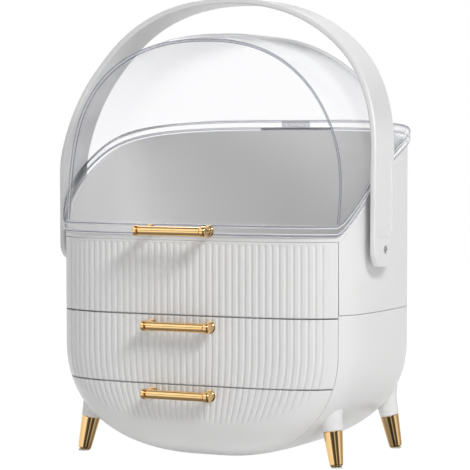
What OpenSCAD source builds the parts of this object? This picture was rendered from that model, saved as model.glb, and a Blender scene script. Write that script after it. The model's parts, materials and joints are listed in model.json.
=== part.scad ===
// Makeup organizer: an egg-shaped white body on four splayed legs, with two ribbed
// drawers below a display deck, a clear lid hinged at the rear and a carrying handle.
// Millimetres, +Z up, front toward -Y. Plan forms are superellipses round the plan centre.

/* [Body] */
// width of the body across its sides
body_w = 290; // [220:1:360]
// depth of the body from front to rear
body_d = 220; // [170:1:270]
// thickness of the moulded shells
wall = 3; // [2.2:0.1:4]
// height of the belly's lowest point above the floor
belly_low_z = 1; // [1:0.5:6]
// height where the sides stop being upright and the belly curves in
belly_top_z = 100; // [84:1:120]
// height of the seam between the two drawer fronts
seam_2_z = 68.6; // [57:0.1:82]
// height of the seam over the upper drawer front
seam_1_z = 128.6; // [118:0.1:150]
// height of the top edge of the fixed ribbed panel
panel_top_z = 192.7; // [170:0.1:230]
// open gap at the seams round the drawer fronts
seam_gap = 1.2; // [0.8:0.1:2]

/* [Ribs] */
// distance from rib to rib along the front
rib_pitch = 6.2; // [5:0.1:7.4]
// depth of the grooves between the ribs
rib_depth = 1; // [0.5:0.1:1.5]
// number of grooves on each side of the middle one
rib_side_n = 20; // [16:1:22]

/* [Lid] */
// height of the lid's crown above the floor
lid_top_z = 373; // [330:1:430]
// thickness of the clear lid
lid_wall = 2.4; // [1.6:0.1:4]
// distance that the lid's front leans back over its height
lid_lean = 31; // [20:1:37]
// height of the thicker band round the lid's foot
lid_band_h = 9; // [6:0.5:12]

/* [Handle] */
// height of the handle's crown above the floor
handle_top_z = 403; // [395:1:480]
// width of the handle's band
handle_w = 42; // [34:1:50]
// thickness of the handle's band
handle_t = 5; // [3:0.1:6]
// height of the handle's pivots
pivot_z = 185.3; // [170:0.1:200]
// distance of the pivots in front of the plan centre
pivot_fwd = 38; // [30:0.5:46]

/* [Pulls and legs] */
// length of each pull's bar
pull_len = 66; // [50:1:80]
// diameter of each pull's bar
pull_d = 8; // [6:0.1:10]
// diameter of a leg where the gold ferrule ends
leg_d = 17; // [14:0.1:20]
// height of the gold ferrule
ferrule_h = 31; // [24:0.5:36]

/* [Hidden] */
$fn = 64;
half_w = body_w / 2;
half_d = body_d / 2;
front_n = 4.4;                       // plan exponent of the soft-cornered front
rear_n = 2.8;                        // plan exponent of the rounder rear
belly_n = [2.2, 4.5, 3.2];           // belly exponents across, at the front and at the rear
belly_h = belly_top_z - belly_low_z;
seam_f = 0.912;                      // share of the half width where the front panels end
seam_t = -atan2(pow(1 - pow(seam_f, front_n), 1 / front_n), seam_f);
side_seam_z = seam_1_z + 2.4;        // seam between the lower and the upper shell
hair = 0.4;                          // gap at the shells' own seam
seat = 0.25;                         // gap of a plate set in a moulded shell
run = 0.4;                           // running gap of a drawer tray
floor_tau = 0.99;                    // how far down the belly the shells reach
edge_z = belly_top_z - belly_h * floor_tau;
rib_top_z = panel_top_z - 2.4;       // where the fixed panel's grooves end
rim_z = panel_top_z + 4.3;           // front height of the upper shell's rim
rim_rise = 100;                      // height that the rim gains toward the rear
rim_len = 85;                        // length over which it does
lid_gap = 0.7;                       // gap between the rim and the lid's band
lid_over = 1;                        // how far the lid stands out from the body
band_out = 1.6;                      // how far the band stands out from the lid
lid_arch_z = lid_top_z - 147;         // height where the lid's sides start to arch in
lid_back = half_d - 45;              // where the lid's roof starts to fall to the rear
lid_fall_z = lid_top_z - 93;         // height where the lid's rear starts to lean in
lid_edge_drop = 7;                   // how far the edge over the front face lies below the crown
face_w = half_w - 12;                // half width of the front face where its edge starts to arch in
face_mid_z = lid_top_z - 145;        // height where it does
face_n = 2.35;                       // exponent of the front face's arch
lid_level_z = lid_top_z - 51;        // height of the level ring where the lid's roof starts

hinge_r = 3.5;                       // knuckle radius of the lid hinge
hinge_out = 6.2;                     // from the body's rear to the hinge's axis
hinge_pin_r = 1.5;
hinge_half = 36;                     // half length of the lid hinge
hinge_mid = 14;                      // half length of its middle knuckle
leaf_t = 2;
leaf_h = 22;
bore_gap = 0.15;                     // radial gap of a turning pin in its bore

handle_in = half_w + 4.5;            // inner face of the handle's arms
handle_r = handle_in + handle_t;
handle_y = -pivot_fwd - 1.5;         // middle of the handle's band
rake = 25;                           // how far the crown stands back from the arms
rake_z = [pivot_z + 73, handle_top_z - 53];  // heights between which the band goes back
arch_n = 2.2;                        // exponent of the arch over the arms
arch_cols = 96;
arm_end_r = 14;                      // corner radius of the arms' lower ends
arm_low = 14.3;                      // how far the arms reach below the pivots
recess = 0.5;                        // depth of the long recess in each arm
recess_w = 34;
recess_h = 66;
recess_low = 11;                     // how far above the pivots it starts
boss_r = 7;                          // boss that holds the handle off the shell
flange_r = 11;
flange_t = 3;
pin_r = 2;
head_r = 3.1;
head_h = 1.2;

post_r = 3.4;
post_x = pull_len / 2 - 5;           // where the posts stand on each side
pull_x = -5;                         // middle of the pulls
pull_out = 10.8;                     // from a foot's seat to the bar's axis
lid_pull_out = 16.8;                  // the same on the lid's band
cap_r = pull_d / 2 + 0.7;            // rounded cap at each end of the bar
cap_l = 5;
cap_round = 1.8;
neck = [0.7, 0.8];                   // depth and width of the groove behind it
lid_pull_more = 4;                   // how much longer the lid's pull is
foot_r = 5.2;                        // round foot of a post on its panel
foot_h = 1.2;
spot = 1.4;                          // depth of the flat spot faced for it
screw_r = 1.6;
screw_in = 6;                        // how far a screw reaches into its post
pull_z = [seam_1_z - 9.6, seam_2_z - 8.3, rim_z + 4.3];

leg_tip = [half_w - 21, half_d - 40];  // where the front legs stand, from the plan centre
rear_leg = [half_w - 22, half_d - 45]; // where the rear legs stand
leg_splay = [0.176, 0.114];          // how far they lean out, per unit of height
leg_tip_d = 11.5;
leg_fit = 0.15;
pad_h = 1;

shelf_t = 2.5;
shelf_z = seam_2_z - shelf_t + 0.4;
bay_z = 27.2;                        // underside of the lower bay's floor
top_z = side_seam_z - 2.8;           // underside of the plate over the drawers
deck_z = rim_z - 17;                 // underside of the display deck
tray_t = 2.2;
tray_w = [half_w - 23, half_w - 65];  // half widths of the two trays
tray_h = [seam_1_z - seam_2_z - 10, seam_2_z - bay_z - 9.4];
tray_back = [half_d - 56, half_d - 56];
rail_w = 6;
rail_h = 11;
rail_y = [42 - half_d, half_d - 74];

rear_reach = half_d + hinge_out + hinge_r;
front_reach = half_d + lid_over + band_out + lid_pull_out + cap_r;
plan_y = (front_reach - rear_reach) / 2;   // the plan centre, with the whole box on the origin

// ---- the form of the body ----
// depth into the belly at height z, 0 where the sides are upright, for a surface o inside the skin
function tau(z, o) = max(0, (belly_top_z - z) / (belly_h - o));
function shrink(z, o, i) = pow(1 - pow(min(tau(z, o), 0.9999), belly_n[i]), 1 / belly_n[i]);
function half_x(z, o) = (half_w - o) * shrink(z, o, 0);
function front_y(z, o) = (half_d - o) * shrink(z, o, 1);
function rear_y(z, o) = (half_d - o) * shrink(z, o, 2);
// one point of a superellipse with half width ax, front and rear half depths and exponents
function ring_pt(ax, bf, br, nf, nr, t) =
    let (c = cos(t), s = sin(t), n = s < 0 ? nf : nr)
    let (k = pow(pow(abs(c), n) + pow(abs(s), n), -1 / n))
    [ax * k * c, (s < 0 ? bf : br) * k * s];
function body_pt(z, o, t) = ring_pt(half_x(z, o), front_y(z, o), rear_y(z, o), front_n, rear_n, t);
function body_ring(z, o, angles) = [for (t = angles) body_pt(z, o, t)];
// the inner surface of a belly row, square to the skin
function inner_z(z, o) = z + o * pow(tau(z, 0), 3);

function steps(a, b, n) = [for (i = [0:n - 1]) a + (b - a) * i / n];
front_t = steps(-90, seam_t, 8);
side_t = concat(steps(seam_t, -8, 6), steps(-8, 90, 15));
function mirrored(list) = [for (i = [len(list) - 1:-1:0]) 180 - list[i]];
shell_t = concat(side_t, [90], mirrored(side_t));
jump_t = 0.15;
right_t = concat(front_t, [seam_t], [seam_t + jump_t], [for (i = [1:len(side_t) - 1]) side_t[i]]);
ring_t = concat(right_t, [90], [for (i = [len(right_t) - 1:-1:1]) 180 - right_t[i]]);
plate_t = concat(front_t, side_t, [90], mirrored(side_t), [for (i = [7:-1:1]) 180 - front_t[i]]);

// ---- closed solids from an outer and an inner grid of points ----
function quads(r, c, base, flip, wrap) = [for (i = [0:r - 2], j = [0:c - (wrap ? 1 : 2)])
    let (p = base + i * c + j, q = base + i * c + (j + 1) % c)
    each flip ? [[p, q, q + c], [p, q + c, p + c]] : [[p, q + c, q], [p, p + c, q + c]]];
function strip(r, c, row, flip, wrap) = [for (j = [0:c - (wrap ? 1 : 2)])
    let (p = row * c + j, q = row * c + (j + 1) % c, m = r * c)
    each flip ? [[p, p + m, q + m], [p, q + m, q]] : [[p, q + m, p + m], [p, q, q + m]]];
function side_strip(r, c, col, flip) = [for (i = [0:r - 2])
    let (p = i * c + col, q = p + c, m = r * c)
    each flip ? [[p, q + m, p + m], [p, q, q + m]] : [[p, p + m, q + m], [p, q + m, q]]];

// an open patch of wall
module patch(outer, inner) {
    r = len(outer);
    c = len(outer[0]);
    pts = concat([for (row = outer) each row], [for (row = inner) each row]);
    polyhedron(pts, concat(quads(r, c, 0, false, false), quads(r, c, r * c, true, false),
        strip(r, c, 0, false, false), strip(r, c, r - 1, true, false),
        side_strip(r, c, 0, false), side_strip(r, c, c - 1, true)), convexity = 8);
}

// a wall that closes round
module tube(outer, inner) {
    r = len(outer);
    c = len(outer[0]);
    pts = concat([for (row = outer) each row], [for (row = inner) each row]);
    polyhedron(pts, concat(quads(r, c, 0, false, true), quads(r, c, r * c, true, true),
        strip(r, c, 0, false, true), strip(r, c, r - 1, true, true)), convexity = 8);
}

// a wall that closes round and over the top, each top ring fanned to its own middle
module dome(outer, inner, mid_out, mid_in) {
    r = len(outer);
    c = len(outer[0]);
    m = r * c;
    pts = concat([for (row = outer) each row], [for (row = inner) each row], [mid_out, mid_in]);
    polyhedron(pts, concat(quads(r, c, 0, false, true), quads(r, c, m, true, true),
        strip(r, c, 0, false, true),
        [for (j = [0:c - 1]) [m - c + j, 2 * m, m - c + (j + 1) % c]],
        [for (j = [0:c - 1]) [2 * m - c + j, 2 * m - c + (j + 1) % c, 2 * m + 1]]), convexity = 8);
}

module place() translate([0, plan_y, 0]) children();
module plate(z, o, t) translate([0, 0, z]) linear_extrude(t) polygon(body_ring(z, o, plate_t));

// ---- ribbed fronts ----
function plan_slope(x) = let (u = x / half_w)
    half_d / half_w * pow(u, front_n - 1) * pow(1 - pow(u, front_n), 1 / front_n - 1);
rib_step = rib_pitch / 5;
// places of the groove middles and shoulders, walked along the front's arc
arc_x = [for (i = 0, x = 0; i <= 5 * rib_side_n + 1; i = i + 1,
    x = min(x + rib_step / sqrt(1 + pow(plan_slope(x), 2)), half_w * seam_f)) x];
last_x = arc_x[5 * rib_side_n + 1] / half_w;
// each column is a share of the half width, whether it is a groove, and which one
right_cols = concat([[0, 1, 0]], [for (k = [0:rib_side_n]) each concat(
    k > 0 ? [[arc_x[5 * k - 1] / half_w, 0, k], [arc_x[5 * k] / half_w, 1, k]] : [],
    [[arc_x[5 * k + 1] / half_w, 0, k]])]);
function margin(f_end) = [for (i = [1:4]) [last_x + (f_end - last_x) * i / 4, 0, rib_side_n]];
function cols(f_end) = let (r = concat(right_cols, margin(f_end)))
    concat([for (i = [len(r) - 1:-1:1]) [-r[i][0], r[i][1], r[i][2]]], r);
function front_pt(z, o, f, d) =
    let (v = pow(1 - pow(abs(f), front_n), 1 / front_n), ax = half_x(z, o), by = front_y(z, o))
    let (nx = sign(f) * pow(abs(f), front_n - 1) / ax, ny = -pow(v, front_n - 1) / by)
    let (l = norm([nx, ny]))
    [ax * f - d * nx / l, -by * v - d * ny / l, z];
// the grooves die away low on the belly, sooner toward the corners
function fade_z(k) = 34 + 30 * pow(k / rib_side_n, 5);
function fade(z, k) = z > belly_top_z ? 1 : max(0, min(1, (z - fade_z(k)) / 9));
panel_f = seam_f - 0.6 / half_w;

module ribbed(rows, depths) {
    c = cols(panel_f);
    patch([for (i = [0:len(rows) - 1]) [for (p = c)
            front_pt(rows[i], 0, p[0], p[1] * rib_depth * depths[i] * fade(rows[i], p[2]))]],
        [for (z = rows) [for (p = c) front_pt(inner_z(z, wall), wall, p[0], 0)]]);
}

module along_y(x, y, z, r, l) translate([x, y, z]) rotate([-90, 0, 0]) cylinder(h = l, r = r);
module along_x(x, y, z, r, l) translate([x, y, z]) rotate([0, 90, 0]) cylinder(h = l, r = r);

// spot faces and screw holes for a pull's two posts, in a front whose skin is at y
module post_holes(z, y) for (s = [-1, 1]) {
    along_y(pull_x + s * post_x, y - rib_depth, z, foot_r + 0.1, spot + rib_depth);
    along_y(pull_x + s * post_x, y, z, screw_r + 0.1, 3 * wall);
}

// ---- shells ----
belly_rows = [for (i = [12:-1:0]) belly_top_z - belly_h * sin(asin(floor_tau) * i / 12)];
lower_rows = concat(belly_rows, [side_seam_z - hair / 2]);

module lower_shell() color("white") place() difference() {
    patch([for (z = lower_rows) [for (t = shell_t) concat(body_pt(z, 0, t), [z])]],
        [for (z = lower_rows) let (w = inner_z(z, wall)) [for (t = shell_t) concat(body_pt(w, wall, t), [w])]]);
    for (sx = [-1, 1], sy = [-1, 1]) leg_cone(sx, sy, leg_fit, 0, leg_l);
}

function rim(y) = rim_z + rim_rise * (1 - exp(-max(0, y - body_pt(rim_z, 0, seam_t)[1]) / rim_len));
function is_front(t) = sin(t) < 0 && abs(cos(t)) < cos(seam_t) + 0.0001;

module upper_shell() color("white") place() difference() {
    tube([for (i = [0:1]) [for (t = ring_t) shell_pt(0, t, i)]],
        [for (i = [0:1]) [for (t = ring_t) shell_pt(wall, t, i)]]);
    for (s = [-1, 1]) along_x(s * half_w - 10, -pivot_fwd, pivot_z, boss_r + bore_gap, 20);
}
function shell_pt(o, t, i) = let (p = body_pt(rim_z, o, t))
    [p[0], p[1], i == 1 ? rim(body_pt(rim_z, 0, t)[1]) : is_front(t) ? panel_top_z + hair : side_seam_z + hair / 2];

// ---- inside ----
// the plate that closes the belly, inside the sloping edges of the shells
function edge_pt(t) = let (u = 1 - seat / edge_w) u * body_pt(inner_z(edge_z, wall), wall, t);
edge_w = half_x(edge_z, 0);
module base_plate() color("white") place()
    translate([0, 0, edge_z]) linear_extrude(wall * 0.8) polygon([for (t = plate_t) edge_pt(t)]);
module bay_floor() color("white") place() plate(bay_z, wall + seat, shelf_t);
module shelf() color("white") place() difference() {
    plate(shelf_z, wall + seat, shelf_t);
    for (sx = [-1, 1], sy = [-1, 1])
        translate(screw_at(sx, sy) - [0, 0, 1]) cylinder(h = 9, r = screw_r + 0.1);
}
module top_plate() color("white") place() plate(top_z, wall + seat, side_seam_z + hair / 2 - 0.1 - top_z);

module rail(i, s) color("white") place() {
    z = i == 0 ? shelf_z + shelf_t : bay_z + shelf_t;
    x = tray_w[i] + run;
    translate([s > 0 ? x : -x - rail_w, rail_y[0], z]) cube([rail_w, rail_y[1] - rail_y[0], rail_h]);
}
module rail_1_left() rail(0, -1);
module rail_1_right() rail(0, 1);
module rail_2_left() rail(1, -1);
module rail_2_right() rail(1, 1);

module front_panel() color("white") place()
    ribbed([seam_1_z + seam_gap / 2, rib_top_z - 1, rib_top_z, panel_top_z], [1, 1, 0, 0]);

module display_deck() color("white") place() difference() {
    translate([0, 0, top_z + 3]) linear_extrude(deck_z + shelf_t - top_z - 3)
        polygon(body_ring(rim_z, wall + seat, plate_t));
    translate([0, 0, top_z + 2]) linear_extrude(deck_z - top_z - 2)
        polygon(body_ring(rim_z, wall + seat + tray_t, plate_t));
    for (s = [-1, 1]) {
        along_x(s * half_w - 15, -pivot_fwd, pivot_z, flange_r + 1, 30);
        translate([s * half_w - 15, -pivot_fwd - flange_r - 1, pivot_z]) cube([30, 2 * flange_r + 2, flange_r]);
    }
}

// ---- drawers ----
drawer_1_rows = [seam_2_z + seam_gap / 2, 83, belly_top_z, seam_1_z - seam_gap / 2];
drawer_2_top = seam_2_z - seam_gap / 2;
top_a = asin((belly_top_z - drawer_2_top) / belly_h);
low_a = asin(floor_tau);
drawer_2_rows = [for (i = [8:-1:0]) belly_top_z - belly_h * sin(top_a + (low_a - top_a) * i / 8)];
tray_z = [shelf_z + shelf_t + run, bay_z + shelf_t + run];

module drawer_1_front() color("white") place() difference() {
    ribbed(drawer_1_rows, [1, 1, 1, 1]);
    post_holes(pull_z[0], -half_d);
}
module drawer_2_front() color("white") place() difference() {
    ribbed(drawer_2_rows, [for (z = drawer_2_rows) 1]);
    post_holes(pull_z[1], -front_y(pull_z[1], 0));
}

// a tray's outline: the panel's curve at the front, square at the back
function tray_outline(i, o) = let (z = tray_z[i], w = tray_w[i] - o)
    let (ax = half_x(z, wall + seat + o), by = front_y(z, wall + seat + o))
    let (curve = [for (j = [-12:12]) let (x = w * j / 12)
        [x, -by * pow(1 - pow(abs(x) / ax, front_n), 1 / front_n)]])
    concat(curve, [[w, tray_back[i] - o], [-w, tray_back[i] - o]]);

module tray(i) color("white") place() difference() {
    translate([0, 0, tray_z[i]]) linear_extrude(tray_h[i]) polygon(tray_outline(i, 0));
    translate([0, 0, tray_z[i] + tray_t]) linear_extrude(tray_h[i]) polygon(tray_outline(i, tray_t));
    for (s = [-1, 1]) along_y(pull_x + s * post_x, -half_d, pull_z[i], screw_r + 0.1, 20);
}
module drawer_1_tray() tray(0);
module drawer_2_tray() tray(1);

// half the outline of a pull's bar, from its middle to its rounded end
function bar_half(h) = concat(
    [[pull_d / 2, 0], [pull_d / 2, h - cap_l - neck[1]], [pull_d / 2 - neck[0], h - cap_l - neck[1]],
        [pull_d / 2 - neck[0], h - cap_l], [cap_r, h - cap_l]],
    [for (a = [0:15:90]) [cap_r - cap_round * (1 - cos(a)), h - cap_round * (1 - sin(a))]], [[0, h]]);
module bar(l) rotate([0, 90, 0]) rotate_extrude() let (half = bar_half(l / 2))
    polygon(concat(half, [for (i = [len(half) - 1:-1:1]) [half[i][0], -half[i][1]]]));

// a pull with a bar w long, held out by l from the face at y where its posts stand
module pull(z, y, l, w) color("gold") place() difference() {
    union() {
        translate([pull_x, y - l, z]) bar(w);
        for (s = [-1, 1]) {
            along_y(pull_x + s * post_x, y - l, z, post_r, l);
            along_y(pull_x + s * post_x, y - foot_h, z, foot_r, foot_h);
        }
    }
    for (s = [-1, 1]) along_y(pull_x + s * post_x, y - screw_in - 0.5, z, screw_r, l);
}
pull_y = [-half_d + spot, -front_y(pull_z[1], 0) + spot];
module drawer_1_pull() pull(pull_z[0], pull_y[0], pull_out, pull_len);
module drawer_2_pull() pull(pull_z[1], pull_y[1], pull_out, pull_len);

// two screws from inside a tray into a pull's posts
module screws(i) color("silver") place() for (s = [-1, 1]) {
    y = tray_face(i);
    along_y(pull_x + s * post_x, pull_y[i] - screw_in, pull_z[i], screw_r - 0.02, y - pull_y[i] + screw_in + 0.5);
    along_y(pull_x + s * post_x, y, pull_z[i], 2 * screw_r, 1.5);
}
function tray_face(i) = let (z = tray_z[i], o = wall + seat + tray_t, x = post_x + abs(pull_x) + 2 * screw_r)
    -front_y(z, o) * pow(1 - pow(x / half_x(z, o), front_n), 1 / front_n) + 0.15;
module drawer_1_screws() screws(0);
module drawer_2_screws() screws(1);

// ---- lid ----
// The lid has a front face that leans back and ends in a crisp edge, an arch over the sides
// and a soft fall to the rear. Its columns run from the foot up to a level ring, then over the roof.
lid_r = half_w + lid_over;
lid_foot_d = half_d + lid_over;
function arc_of(u, n) = pow(max(0, 1 - pow(abs(u), n)), 1 / n);
function lid_x(z, o) = (lid_r + o) * (z < lid_arch_z ? 1 : arc_of((z - lid_arch_z) / (lid_top_z + o - lid_arch_z), 2));
// the front face: its half width at height z, and its surface
function face_top(o) = lid_top_z - lid_edge_drop + o;
function face_x(z, o) = z < face_mid_z
    ? face_w + o + (seam_f * half_w - face_w) * pow((face_mid_z - z) / (face_mid_z - rim_z), 2)
    : (face_w + o) * arc_of((z - face_mid_z) / (face_top(o) - face_mid_z), face_n);
function face_reach(z, o) = lid_foot_d + o - lid_lean * (z - rim_z) / (lid_top_z - rim_z);
function face_y(x, z, o) = -face_reach(z, o) * arc_of(x / (lid_r + o), front_n);
// the ring of sides and rear at height z: how far it reaches forward and back
function lid_fore(z, o) = z < face_top(o) - 0.01
    ? let (e = face_x(z, o)) -face_y(e, z, o) / arc_of(e / lid_x(z, o), front_n)
    : face_reach(face_top(o), o) * pow(max(0, 1 - (z - face_top(o)) / lid_edge_drop), 1 / 3);
function lid_aft(z, o) = lid_back + o + (lid_foot_d - lid_back) * arc_of(max(0, z - lid_fall_z) / (lid_top_z + o - lid_fall_z), 2);
function corner_t(z, o) = let (e = face_x(z, o)) -atan2(-face_y(e, z, o) / lid_fore(z, o), e / lid_x(z, o));
function side_pt(z, o, u) = let (t0 = corner_t(z, o))
    ring_pt(lid_x(z, o), lid_fore(z, o), lid_aft(z, o), front_n, rear_n, t0 + (90 - t0) * u);
// height of the roof over a point of the plan, found by halving
function outside(x, y, z, o) = let (n = y < 0 ? front_n : rear_n, d = y < 0 ? lid_fore(z, o) : lid_aft(z, o))
    pow(abs(x) / max(lid_x(z, o), 0.001), n) + pow(abs(y) / max(d, 0.001), n) > 1;
function roof_z(x, y, o, low, high, k) = let (m = (low + high) / 2)
    k == 0 ? m : outside(x, y, m, o) ? roof_z(x, y, o, low, m, k - 1) : roof_z(x, y, o, m, high, k - 1);
// the edge over the front face, from its corner at the level ring (1) to its middle (0)
level_a = asin(pow((lid_level_z - face_mid_z) / (face_top(0) - face_mid_z), face_n / 2));
function edge_pt_of(f, o) = let (a = 90 - abs(f) * (90 - level_a))
    [sign(f) * (face_w + o) * pow(cos(a), 2 / face_n), face_mid_z + (face_top(o) - face_mid_z) * pow(sin(a), 2 / face_n)];

face_cols = 8;
side_cols = 17;
lid_rise = 6;
lid_roof = 5;
roof_mid = [0, 15];
foot_rise = lid_band_h + 1;
low_z = rim_z + lid_gap + foot_rise;
// columns: [share of the front face, or nothing; share of the way to the rear; side]
lid_cols = concat([for (i = [-face_cols:face_cols]) [i / face_cols, 0, sign(i)]],
    [for (i = [1:side_cols]) [2, i / side_cols, 1]], [for (i = [side_cols - 1:-1:1]) [2, i / side_cols, -1]]);
function foot_pt(c, o) = let (x = c[0] * (face_x(rim_z, 0) + o))
    c[0] < 2 ? [x, -(lid_foot_d + o) * arc_of(x / (lid_r + o), front_n)]
    : let (t0 = foot_t(o), p = ring_pt(lid_r + o, lid_foot_d + o, lid_foot_d + o, front_n, rear_n, t0 + (90 - t0) * c[1]))
    [c[2] * p[0], p[1]];
function foot_t(o) = let (e = (face_x(rim_z, 0) + o) / (lid_r + o)) -atan2(arc_of(e, front_n), e);
function foot_z(c) = rim(foot_pt(c, -lid_over)[1]) + lid_gap;
// the face's own x and z, blended from its foot, its two sides and the edge over it
function face_xz(f, q, o) =
    let (z = low_z + (lid_level_z - low_z) * q, side = [face_x(z, o), z])
    let (low = [f * face_x(low_z, o), low_z], high = edge_pt_of(f, o))
    let (low_side = [face_x(low_z, o), low_z], high_side = edge_pt_of(1, o))
    let (d = side - (1 - q) * low_side - q * high_side)
    (1 - q) * low + q * high + [f * d[0], abs(f) * d[1]];
function rise_pt(c, q, o) = c[0] < 2
    ? let (p = face_xz(c[0], q, o)) [p[0], face_y(p[0], p[1], o), p[1]]
    : let (z0 = foot_z(c) + foot_rise, z = z0 + (lid_level_z - z0) * q, p = side_pt(z, o, c[1]))
    [c[2] * p[0], p[1], z];
function roof_pt(c, g, o) = let (p = rise_pt(c, 1, o), x = p[0] * (1 - g), y = p[1] * (1 - g) + roof_mid[1] * g)
    [x, y, roof_z(x, y, o, p[2], lid_top_z + o, 24)];
function lid_grid(o, band) = concat(
    [for (h = [0, lid_band_h]) [for (c = lid_cols) concat(foot_pt(c, o + band), [foot_z(c) + h])]],
    [for (i = [0:lid_rise]) [for (c = lid_cols) rise_pt(c, i / lid_rise, o)]],
    [for (i = [1:lid_roof - 1]) [for (c = lid_cols) roof_pt(c, i / lid_roof, o)]]);

module lid() color("aliceblue", 0.4) place() difference() {
    dome(lid_grid(0, band_out), lid_grid(-lid_wall, 0), concat(roof_mid, [lid_top_z]),
        concat(roof_mid, [lid_top_z - lid_wall]));
    for (s = [-1, 1]) along_y(pull_x + s * post_x, -half_d - 8, pull_z[2], screw_r + 0.1, 20);
}
module lid_pull() pull(pull_z[2], -half_d - lid_over - band_out, lid_pull_out, pull_len + lid_pull_more);

hinge_y = half_d + hinge_out;
hinge_z = rim(half_d) + 0.3;
function rear_at(x, o) = (half_d + o) * pow(1 - pow(abs(x) / (half_w + o), rear_n), 1 / rear_n);
function leaf_outline(w, o) = let (xs = [for (i = [-4:4]) w * i / 4])
    concat([for (x = xs) [x, rear_at(x, o)]], [for (i = [len(xs) - 1:-1:0]) [xs[i], rear_at(xs[i], o + leaf_t)]]);

module hinge_leaf() color("silver") place() difference() {
    union() {
        translate([0, 0, hinge_z - leaf_h]) linear_extrude(leaf_h - hinge_r - 0.6) polygon(leaf_outline(hinge_half, 0.2));
        for (s = [-1, 1]) {
            m = (hinge_half + hinge_mid) / 2 + 0.2;
            l = hinge_half - hinge_mid - 0.4;
            along_x(s * m - l / 2, hinge_y, hinge_z, hinge_r, l);
            translate([s * m - l / 2, half_d + 0.3, hinge_z - hinge_r - 3])
                cube([l, hinge_out - 0.3, 3.6]);
        }
    }
    along_x(-hinge_half - 1, hinge_y, hinge_z, hinge_pin_r, 2 * hinge_half + 2);
}
module lid_leaf() color("silver") place() difference() {
    union() {
        translate([0, 0, hinge_z + 1]) linear_extrude(leaf_h / 3) polygon(leaf_outline(hinge_mid, lid_over + band_out + 0.1));
        along_x(-hinge_mid, hinge_y, hinge_z, hinge_r, 2 * hinge_mid);
    }
    along_x(-hinge_half - 1, hinge_y, hinge_z, hinge_pin_r + bore_gap, 2 * hinge_half + 2);
}
module hinge_pin() color("silver") place()
    along_x(-hinge_half, hinge_y, hinge_z, hinge_pin_r - 0.02, 2 * hinge_half);

// ---- handle ----
// the arch over straight arms, o inside the outer face
module arch(o) {
    r = handle_r - o;
    mid_z = handle_top_z - handle_r;
    translate([0, mid_z]) polygon([for (i = [0:arch_cols]) let (a = 180 * i / arch_cols)
        [r * sign(cos(a)) * pow(abs(cos(a)), 2 / arch_n), (handle_r - o) * pow(abs(sin(a)), 2 / arch_n)]]);
    translate([-r, pivot_z - arm_low]) square([2 * r, mid_z - pivot_z + arm_low]);
}
// the band seen from the side: round ended arms that go back toward the crown
function corner(y, z, a0) = [for (a = [a0:15:a0 + 90]) [y + arm_end_r * cos(a), z + arm_end_r * sin(a)]];
module arm_side() {
    y0 = handle_y - handle_w / 2;
    y1 = y0 + handle_w;
    z = pivot_z - arm_low + arm_end_r;
    top = handle_top_z + 1;
    polygon(concat(corner(y0 + arm_end_r, z, 180), corner(y1 - arm_end_r, z, 270),
        [[y1, rake_z[0]], [y1 + rake, rake_z[1]], [y1 + rake, top]],
        [[y0 + rake, top], [y0 + rake, rake_z[1]], [y0, rake_z[0]]]));
}
module recess_side() {
    z0 = pivot_z + recess_low;
    r = arm_end_r - 4;
    translate([handle_y - recess_w / 2, z0 + r]) square([recess_w, recess_h - r]);
    translate([handle_y - recess_w / 2 + r, z0]) square([recess_w - 2 * r, r + 1]);
    translate([handle_y - recess_w / 2 + r, z0 + r]) circle(r);
    translate([handle_y + recess_w / 2 - r, z0 + r]) circle(r);
}
module across(w) translate([-w / 2, 0, 0]) rotate([90, 0, 90]) linear_extrude(w) children();

module handle() color("white") place() difference() {
    intersection() {
        translate([0, handle_y + handle_w / 2 + rake, 0]) rotate([90, 0, 0]) linear_extrude(handle_w + rake) difference() {
            arch(0);
            arch(handle_t);
            translate([-handle_in, pivot_z - arm_low - 1]) square([2 * handle_in, 2]);
        }
        across(2 * handle_r + 2) arm_side();
    }
    for (s = [-1, 1]) {
        translate([s * (handle_r + 5 - recess), 0, 0]) across(10) recess_side();
        along_x(s * handle_r - 10, -pivot_fwd, pivot_z, pin_r + bore_gap, 20);
    }
}

wall_in = half_x(pivot_z, wall) * pow(1 - pow((pivot_fwd + flange_r) / half_d, front_n), 1 / front_n);
module pivot_boss(s) color("white") place() mirror([s < 0 ? 1 : 0, 0, 0]) difference() {
    union() {
        along_x(wall_in - flange_t, -pivot_fwd, pivot_z, boss_r, handle_in - 0.3 - wall_in + flange_t);
        along_x(wall_in - flange_t - seat, -pivot_fwd, pivot_z, flange_r, flange_t);
    }
    along_x(wall_in - 10, -pivot_fwd, pivot_z, pin_r, 30);
}
module pivot_boss_left() pivot_boss(-1);
module pivot_boss_right() pivot_boss(1);
module pivot_pin(s) color("silver") place() mirror([s < 0 ? 1 : 0, 0, 0]) {
    along_x(wall_in - flange_t, -pivot_fwd, pivot_z, pin_r - 0.02, handle_r + 0.5 - wall_in + flange_t);
    along_x(handle_r + 0.2, -pivot_fwd, pivot_z, head_r, head_h);
}
module pivot_pin_left() pivot_pin(-1);
module pivot_pin_right() pivot_pin(1);

// ---- legs ----
leg_taper = (leg_d - leg_tip_d) / ferrule_h;
leg_l = 56;                          // length of a leg's cone
spigot_r = 5.5;                      // upright spigot that carries the leg's screw
spigot_in = 3;                       // how far inward of the leg it stands
spigot_z = 50;
// the middle of a leg at height z
function leg_at(sx, sy, z) = let (tip = sy < 0 ? leg_tip : rear_leg)
    [sx * (tip[0] - leg_splay[0] * z), sy * (tip[1] - leg_splay[1] * z), z];
module on_leg(sx, sy) translate(leg_at(sx, sy, 0))
    rotate([0, 0, atan2(sy * leg_splay[1], sx * leg_splay[0])]) rotate([0, -atan(norm(leg_splay)), 0]) children();
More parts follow.
